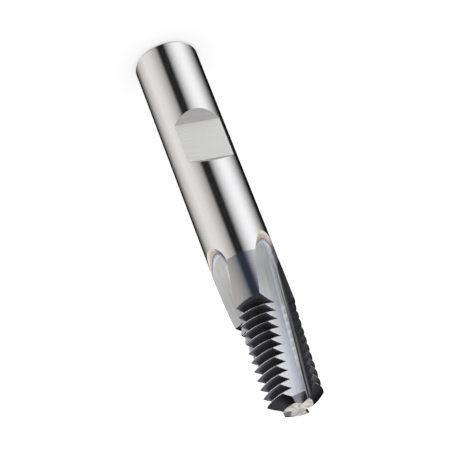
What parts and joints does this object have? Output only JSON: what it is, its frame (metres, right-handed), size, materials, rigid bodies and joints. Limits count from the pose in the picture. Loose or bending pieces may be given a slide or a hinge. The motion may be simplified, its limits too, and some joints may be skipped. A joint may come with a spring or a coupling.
{
  "type": "thread mill",
  "caption": "Taper-thread mill for pipe thread: straight shank with a clamping flat, helical flutes and rows of relieved V-shaped cutting rings, for a holder's bore.",
  "frame": {"origin": "centre of the shank's end face, on the tool's axis", "axes": "+Z along the tool's axis from the shank's end face to the cutting end; +X square to the clamping flat"},
  "size_m": [0.01, 0.01, 0.0653],
  "materials": {
    "carbide": "ground and partly coated"
  },
  "bodies": {
    "root": {"thread_mill": "carbide"}
  },
  "joints": []
}
